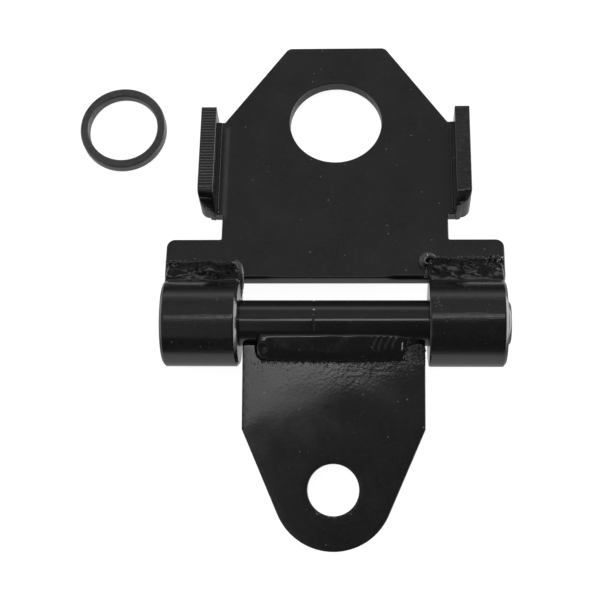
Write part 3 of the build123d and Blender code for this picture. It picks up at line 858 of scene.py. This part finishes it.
def tab_bead(name, side, back=False):
    loops = []
    s0, s1 = (TAB_LOW + 0.3, 78.8) if not back else (TAB_LOW + 2.0, 76.8)
    n = int((s1 - s0) / 0.3)
    for i in range(n + 1):
        s = s0 + (s1 - s0) * i / n
        end = min((s - s0) / 0.8, (s1 - s) / 0.8, 1.0)
        end = max(math.sqrt(max(0.0, 1 - (1 - end) ** 2)), 0.05)
        if back:
            w = (2.2 + 0.25 * n3(s * 0.7, side)) * end
            hgt = (1.0 + 0.25 * n3(s * 0.5, side + 3) + 0.1 * math.sin(s * 3.2)) * end
            pts = [(SEAT + w * math.cos(a), -HALF + 0.25 - (hgt + 0.25) * math.sin(a)) for a in np.linspace(0.0, math.pi, 13)]
            pts += [(SEAT - w * 0.6, -HALF + 0.5), (SEAT + w * 0.6, -HALF + 0.5)]
        else:
            mid = SEAT - 0.92 + 0.05 * n3(s * 0.5, side)
            r = 0.17 + 0.04 * n3(s * 0.9, side + 5)
            blob = 0.40 * math.exp(-((s - s0 - 0.8) / 0.6) ** 2) + 0.32 * math.exp(-((s1 - s - 0.6) / 0.6) ** 2)
            r = (r + blob) * end
            pts = [(mid - r * math.cos(a), HALF - 0.05 + 1.05 * r * math.sin(a)) for a in np.linspace(0.0, math.pi, 9)]
            pts += [(SEAT - 0.45, HALF + 0.01), (SEAT - 0.20, HALF + 0.03 * end), (SEAT - 0.05, HALF + 0.05 * end),
                    (SEAT + 0.25, HALF + 0.05 * end), (SEAT + 0.25, HALF - 0.35), (mid - r * 0.8, HALF - 0.35)]
        loops.append([(side * x, s, h) for x, h in pts])
    return loft(name, loops, on_plate)


for side, which in ((-1, "left"), (1, "right")):
    finish_piece(tab_bead(which + "_tab_weld_front_bead", side), WELD, "bracket", which + "_tab_weld_front")
    finish_piece(tab_bead(which + "_tab_weld_back_bead", side, back=True), WELD, "bracket", which + "_tab_weld_back")


# ---------------------------------------------------------------- spatter and grit
def grit(name, spots, to_world):
    verts, faces = [], []
    for (x, s, h, r, squash) in spots:
        base = len(verts)
        rings, segs = 4, 8
        verts.append([x, s, h + r * squash])
        for i in range(1, rings + 1):
            a = i / rings * math.pi * 0.5
            for q in range(segs):
                b = 2 * math.pi * q / segs
                rr = r * math.sin(a) * (1 + 0.15 * n3(x * 3 + q, s * 3, i))
                verts.append([x + rr * math.cos(b), s + rr * math.sin(b), h + r * squash * math.cos(a) - (0.05 if i == rings else 0.0)])
        for q in range(segs):
            faces.append([base, base + 1 + q, base + 1 + (q + 1) % segs])
        for i in range(rings - 1):
            for q in range(segs):
                a0 = base + 1 + i * segs + q
                a1 = base + 1 + i * segs + (q + 1) % segs
                faces.append([a0, a0 + segs, a1 + segs, a1])
        faces.append([base + 1 + (rings - 1) * segs + q for q in range(segs)][::-1])
    return new_object(name, verts, faces, to_world)


def on_round(radius):
    """x along the axis, t round the bar from its top (positive to the back), h above its skin."""
    return lambda x, t, h: on_hinge(x, (radius + h) * math.sin(t / radius), (radius + h) * math.cos(t / radius))


rng = random.Random(2024)
spots = []
for i in range(120):
    x = rng.uniform(-26, 25)
    spots.append((x, 13.3 + abs(rng.gauss(0, 0.55)), HALF, rng.uniform(0.15, 0.48), rng.uniform(0.5, 0.9)))
for i in range(90):
    x = rng.uniform(-29, 29)
    spots.append((x, 13.8 + rng.expovariate(1 / 2.0), HALF, rng.uniform(0.10, 0.26), rng.uniform(0.4, 0.7)))
for i in range(70):
    spots.append((rng.uniform(-30, 30), rng.uniform(14, 42), HALF, rng.uniform(0.06, 0.17), 0.4))
finish_piece(grit("tongue_weld_spatter", spots, on_tongue), WELD, "tongue", None)
spots = []
for i in range(250):
    q = 8.2 + 5.9 * rng.random() ** 1.15
    x = rng.uniform(24.2 + 1.3 * n3(q * 0.8, 61.0), 31.0)
    rise = max(0.0, 2.4 - 0.42 * (q - 8.2)) * smooth((33.0 - x) / 6.0)
    spots.append((x, q, HALF + rise * 0.85, rng.uniform(0.22, 0.60), rng.uniform(0.5, 0.9)))
for i in range(60):
    x, q = rng.uniform(27.6, 30.8), rng.uniform(8.0, 11.5)
    spots.append((x, q, HALF + max(0.0, 2.0 - 0.5 * (q - 8.0)), rng.uniform(0.35, 0.65), rng.uniform(0.6, 0.9)))
for i in range(90):
    x = rng.uniform(-25, 23)
    spots.append((x, 13.6 + abs(rng.gauss(0, 0.5)), HALF, rng.uniform(0.12, 0.36), rng.uniform(0.5, 0.9)))
finish_piece(grit("tongue_weld_burr", spots, on_tongue), SPATTER_AND_GLINT, "tongue", None)
spots = []
for side, toe in ((-1, 22.0), (1, 23.4)):
    for i in range(70 if side > 0 else 55):
        x = side * rng.uniform(34.0, 58.3)
        spots.append((x, toe - 0.2 + abs(rng.gauss(0, 0.6)), HALF, rng.uniform(0.15, 0.50), rng.uniform(0.5, 0.9)))
for i in range(34):
    spots.append((rng.uniform(52.0, 58.4), rng.uniform(20.5, 24.6), HALF + rng.uniform(0.0, 1.0), rng.uniform(0.25, 0.7), rng.uniform(0.6, 0.9)))
for i in range(22):
    spots.append((rng.uniform(-58.6, -54.0), rng.uniform(18.5, 22.4), HALF + rng.uniform(0.0, 1.0), rng.uniform(0.25, 0.6), rng.uniform(0.6, 0.9)))
for i in range(70):
    spots.append((rng.uniform(-38, 38), rng.uniform(18, 60), HALF, rng.uniform(0.05, 0.14), 0.4))
finish_piece(grit("wing_weld_spatter", spots, on_plate), WELD, "bracket", None)
spots = []
for side, toe, n in ((-1, 22.1, 34), (1, 23.6, 60)):
    for i in range(n):
        x = side * rng.uniform(34.0, 58.3)
        spots.append((x, toe - 0.2 + abs(rng.gauss(0, 0.5)), HALF, rng.uniform(0.15, 0.42), rng.uniform(0.5, 0.9)))
for i in range(40):
    spots.append((rng.uniform(51.5, 58.2), rng.uniform(19.8, 23.8), HALF + rng.uniform(0.4, 2.2) * 0.6, rng.uniform(0.22, 0.55), rng.uniform(0.6, 0.9)))
for i in range(18):
    spots.append((rng.uniform(-58.5, -55.0), rng.uniform(18.0, 22.2), HALF + rng.uniform(0.4, 2.0) * 0.7, rng.uniform(0.2, 0.5), rng.uniform(0.6, 0.9)))
for i in range(16):
    a = rng.uniform(0.3, 3.6)
    spots.append((33.0 - 2.2 * math.sin(a), 22.2 + 1.7 * math.cos(a), HALF + 1.9, rng.uniform(0.25, 0.5), 0.8))
for i in range(18):
    t = rng.uniform(0.0, 1.0)
    spots.append((-35.0 + 2.6 * t ** 0.5 + rng.gauss(0, 0.15), 21.8 - 5.2 * t * t, HALF + 2.0 - 0.6 * t, rng.uniform(0.25, 0.5), 0.8))
for i in range(8):
    spots.append((rng.uniform(-59.0, -58.3), rng.uniform(22.0, 28.0), HALF - 0.3, rng.uniform(0.2, 0.35), 0.8))
finish_piece(grit("wing_weld_burr", spots, on_plate), SPATTER_AND_GLINT, "bracket", None)
# small nicks on the bar and the barrels; the pale spot on the bar is a painted glint on a small bump
spots = [(-6.8, 2.6, 0.0, 0.52, 0.8), (-6.9, 0.6, 0.0, 0.2, 0.7), (-6.9, 3.6, 0.0, 0.2, 0.7)]
finish_piece(grit("rod_glint_spot", spots, on_round(ROD_R)), ROD_GLINT, "tongue", None)
spots = []
for i in range(14):
    spots.append((rng.uniform(20.5, 25.0), rng.uniform(1.5, 3.2), 0.0, rng.uniform(0.08, 0.24), 0.45))
for i in range(16):
    spots.append((rng.uniform(-30, 30), rng.uniform(-4, 4), 0.0, rng.uniform(0.06, 0.14), 0.45))
finish_piece(grit("rod_nicks", spots, on_round(ROD_R)), SPATTER_AND_GLINT, "tongue", None)
spots = []
for i in range(26):
    t = rng.uniform(0.0, 1.0)
    spots.append((34.3 + 3.2 * t + rng.gauss(0, 0.5), 4.0 - 6.0 * t + rng.gauss(0, 0.7), 0.0, rng.uniform(0.10, 0.30), 0.5))
for i in range(30):
    spots.append((rng.choice((-1, 1)) * rng.uniform(33.8, 57.3), rng.uniform(-12, 7), 0.0, rng.uniform(0.07, 0.18), 0.45))
finish_piece(grit("barrel_nicks", spots, on_round(BARREL_R - 0.02)), SPATTER_AND_GLINT, "bracket", None)

# ---------------------------------------------------------------- floor, light and camera
def backdrop():
    """A seamless pale floor that sweeps up into a wall all round, well away from the object."""
    prof = [(0.0, -0.0002), (0.2, -0.0002), (0.5, -0.0002), (1.2, -0.0002)]
    prof += [(1.2 + 0.8 * math.sin(a), 0.8 - 0.8 * math.cos(a)) for a in np.linspace(0.15, math.pi / 2, 12)]
    prof += [(2.0, 1.6), (2.0, 2.6)]
    verts, faces = [(0.0, 0.0, prof[0][1])], []
    n = 96
    for (r, z) in prof[1:]:
        verts += [(r * math.cos(2 * math.pi * i / n), r * math.sin(2 * math.pi * i / n), z) for i in range(n)]
    for i in range(n):
        faces.append((0, 1 + i, 1 + (i + 1) % n))
    for k in range(len(prof) - 2):
        for i in range(n):
            j = (i + 1) % n
            faces.append((1 + k * n + i, 1 + (k + 1) * n + i, 1 + (k + 1) * n + j, 1 + k * n + j))
    me = bpy.data.meshes.new("floor")
    me.from_pydata(verts, [], faces)
    me.polygons.foreach_set("use_smooth", [True] * len(me.polygons))
    ob = bpy.data.objects.new("floor", me)
    bpy.context.scene.collection.objects.link(ob)
    m, nt, b = tree("floor_white")
    b.inputs["Base Color"].default_value = (0.30, 0.30, 0.30, 1)
    b.inputs["Roughness"].default_value = 0.9
    b.inputs["Specular IOR Level"].default_value = 0.0
    b.inputs["Emission Color"].default_value = (1.0, 1.0, 1.0, 1)
    b.inputs["Emission Strength"].default_value = 0.93
    me.materials.append(m)
    # the gloss on the object comes from the soft boxes below, not from the backdrop
    ob.visible_glossy = False
    ob.visible_shadow = False
    ob.visible_diffuse = False


backdrop()
hinge_m = Vector(H * 0.001)
li = bpy.data.lights.new("over_box", "AREA")
li.shape = "RECTANGLE"
li.size, li.size_y = 0.9, 0.9
li.energy = 1.2
over = bpy.data.objects.new("over_box", li)
over.location = hinge_m + Vector((-0.25, 0.1, 1.4))
over.rotation_euler = (0, math.radians(-10), 0)
over.visible_glossy = False
bpy.context.scene.collection.objects.link(over)

# soft boxes far away, laid out by direction: x to the right, y to the back, z up
w = bpy.data.worlds.new("studio")
bpy.context.scene.world = w
w.use_nodes = True
wn = w.node_tree
bg = wn.nodes["Background"]
tc = wn.nodes.new("ShaderNodeTexCoord")
sx = wn.nodes.new("ShaderNodeSeparateXYZ")
wn.links.new(tc.outputs["Generated"], sx.inputs[0])
RX, RY, RZ = sx.outputs


def W(op, a, b=None):
    return math_node(wn, op, a, b)


def edge(v, lo, hi):
    """0 below lo, 1 above hi, smooth between (lo may be above hi)."""
    mr = wn.nodes.new("ShaderNodeMapRange")
    mr.interpolation_type = "SMOOTHSTEP"
    wn.links.new(v, mr.inputs[0])
    a, b, c, d = (lo, hi, 0.0, 1.0) if lo < hi else (hi, lo, 1.0, 0.0)
    mr.inputs[1].default_value, mr.inputs[2].default_value = a, b
    mr.inputs[3].default_value, mr.inputs[4].default_value = c, d
    return mr.outputs[0]


phi = W("ADD", W("MULTIPLY", W("ARCTAN2", RY, RZ), 0.5 / math.pi), 0.5)
around = [(-180, .50), (-160, .52), (-143, .60), (-128, .82), (-111, .92), (-104, .52), (-98, .22), (-90, .14), (-80, .11), (-60, .12), (-48, .15), (-20, .16),
          (-9, .24), (0, .42), (12, .50), (26, .53), (37, .45), (46, .47), (53, .66), (58, .98), (62, 1.22), (66, 1.10), (71, .70), (77, .34),
          (84, .15), (92, .11), (101, .13), (107, .45), (113, .82), (126, .80), (142, .55), (180, .50)]
base = W("MULTIPLY", ramp(wn, phi, [((p + 180) / 360.0, v / 4.0) for p, v in around]), 4.0)
# a little more from the front left
lx = edge(RX, -0.02, -0.11)
lf = W("MULTIPLY", W("MULTIPLY", lx, edge(phi, (-62 + 180) / 360, (-50 + 180) / 360)), edge(phi, (-4 + 180) / 360, (-10 + 180) / 360))
base = W("ADD", base, W("MULTIPLY", lf, 0.26))
# the long box overhead, turned 27.6 degrees
cb, sb = math.cos(math.radians(27.6)), math.sin(math.radians(27.6))
across = W("SUBTRACT", W("MULTIPLY", RY, cb), W("MULTIPLY", RX, sb))
along = W("ADD", W("MULTIPLY", RX, cb), W("MULTIPLY", RY, sb))
fall = W("EXPONENT", W("MULTIPLY", W("MULTIPLY", along, along), -1.0 / 0.145 ** 2))
box = W("MULTIPLY", W("MULTIPLY", edge(across, -0.068, -0.050), edge(across, 0.088, 0.060)), edge(RZ, 0.0, 0.2))
total = W("ADD", base, W("MULTIPLY", W("MULTIPLY", box, fall), 3.1))
# white walls left and right, the right one brighter
low = W("MULTIPLY", edge(RZ, -0.5, -0.2), edge(RZ, 0.55, 0.25))
total = W("ADD", total, W("MULTIPLY", W("MULTIPLY", edge(RX, 0.62, 0.86), low), 6.0))
total = W("ADD", total, W("MULTIPLY", W("MULTIPLY", edge(RX, -0.62, -0.86), low), 1.3))
comb = wn.nodes.new("ShaderNodeCombineColor")
for i in range(3):
    wn.links.new(total, comb.inputs[i])
wn.links.new(comb.outputs[0], bg.inputs["Color"])
bg.inputs["Strength"].default_value = 1.0

cam = bpy.data.cameras.new("camera")
cam.sensor_width = 36.0
cam.lens = 85.0455
cam.clip_start = 0.01
cam_ob = bpy.data.objects.new("camera", cam)
cam_ob.location = (0.02871864, -0.15559653, 0.48282627)
cam_ob.rotation_euler = (math.radians(17.4818909), math.radians(2.5812915), math.radians(0.8276265))
bpy.context.scene.collection.objects.link(cam_ob)
bpy.context.scene.camera = cam_ob
bpy.context.scene.view_settings.view_transform = "Standard"
